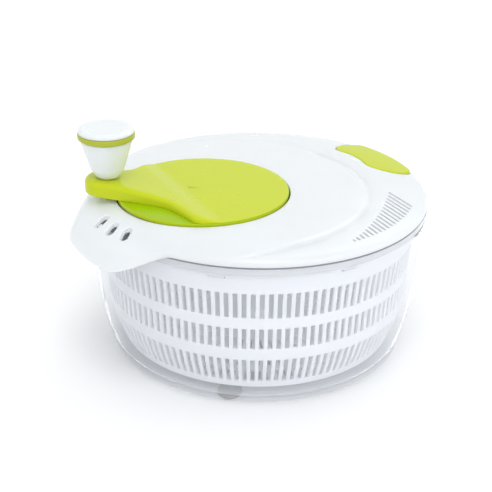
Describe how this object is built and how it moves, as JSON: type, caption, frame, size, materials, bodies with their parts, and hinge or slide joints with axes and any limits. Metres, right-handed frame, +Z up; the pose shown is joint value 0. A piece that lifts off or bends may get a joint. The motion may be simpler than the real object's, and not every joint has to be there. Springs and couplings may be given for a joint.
{
  "type": "salad spinner",
  "caption": "Hand-cranked salad spinner: clear round bowl, slotted basket, geared lid with folded-out crank knob, push-button brake and pouring spout.",
  "frame": {"origin": "centre of the bowl's flat underside, on the axis that the bowl, the basket and the drive share; the rubber feet reach 1.5 mm below it", "axes": "+Z up along the bowl's axis, +X from the middle towards the brake button, -X towards the pouring spout"},
  "size_m": [0.2725, 0.254, 0.179],
  "materials": {
    "clear_plastic": "clear, glossy",
    "white_plastic": "satin gloss",
    "lime_plastic": "gloss",
    "grey_rubber": "matt",
    "nylon": "matt, unfilled",
    "steel": "plain"
  },
  "bodies": {
    "bowl": {"bowl": "clear_plastic", "foot_1": "grey_rubber", "foot_2": "grey_rubber", "foot_3": "grey_rubber"},
    "basket": {"basket": "white_plastic"},
    "lid": {"lid": "white_plastic", "drive_bushing": "nylon"},
    "crank": {"crank_disc": "lime_plastic", "ring_gear": "nylon", "ring_gear_screw_1": "steel", "ring_gear_screw_2": "steel", "ring_gear_screw_3": "steel", "crank_axle": "nylon", "crank_washer": "steel", "crank_screw": "steel", "knob_pin": "nylon"},
    "knob": {"knob_body": "white_plastic", "knob_ring": "lime_plastic", "knob_cap": "white_plastic"},
    "drive": {"pinion": "nylon", "drive_plate": "white_plastic", "drive_washer": "steel", "drive_screw": "steel"},
    "brake": {"brake_button": "lime_plastic", "brake_stem": "nylon", "brake_pad": "grey_rubber", "brake_spring": "steel"}
  },
  "joints": [
    {"name": "lid_lift", "type": "slide", "parent": "bowl", "child": "lid", "axis": [0, 0, 1], "range_m": [0, 0.14]},
    {"name": "crank_spin", "type": "hinge", "parent": "lid", "child": "crank", "pos_m": [-0.0475, 0, 0.12], "axis": [0, 0, 1], "continuous": true},
    {"name": "knob_spin", "type": "hinge", "parent": "crank", "child": "knob", "pos_m": [-0.10726, 0.0345, 0.14], "axis": [0, 0, 1], "continuous": true},
    {"name": "drive_spin", "type": "hinge", "parent": "lid", "child": "drive", "pos_m": [0, 0, 0.11], "axis": [0, 0, 1], "continuous": true},
    {"name": "basket_spin", "type": "hinge", "parent": "bowl", "child": "basket", "pos_m": [0, 0, 0.012], "axis": [0, 0, 1], "continuous": true},
    {"name": "brake_press", "type": "slide", "parent": "lid", "child": "brake", "axis": [0, 0, 1], "range_m": [-0.003, 0], "stiffness_N_per_m": 500, "springref_m": 0.003, "deforming": ["brake_spring"]}
  ],
  "couplings": [
    {"joint": "drive_spin", "follows": "crank_spin", "ratio": 5.75},
    {"joint": "basket_spin", "follows": "crank_spin", "ratio": 5.75}
  ]
}
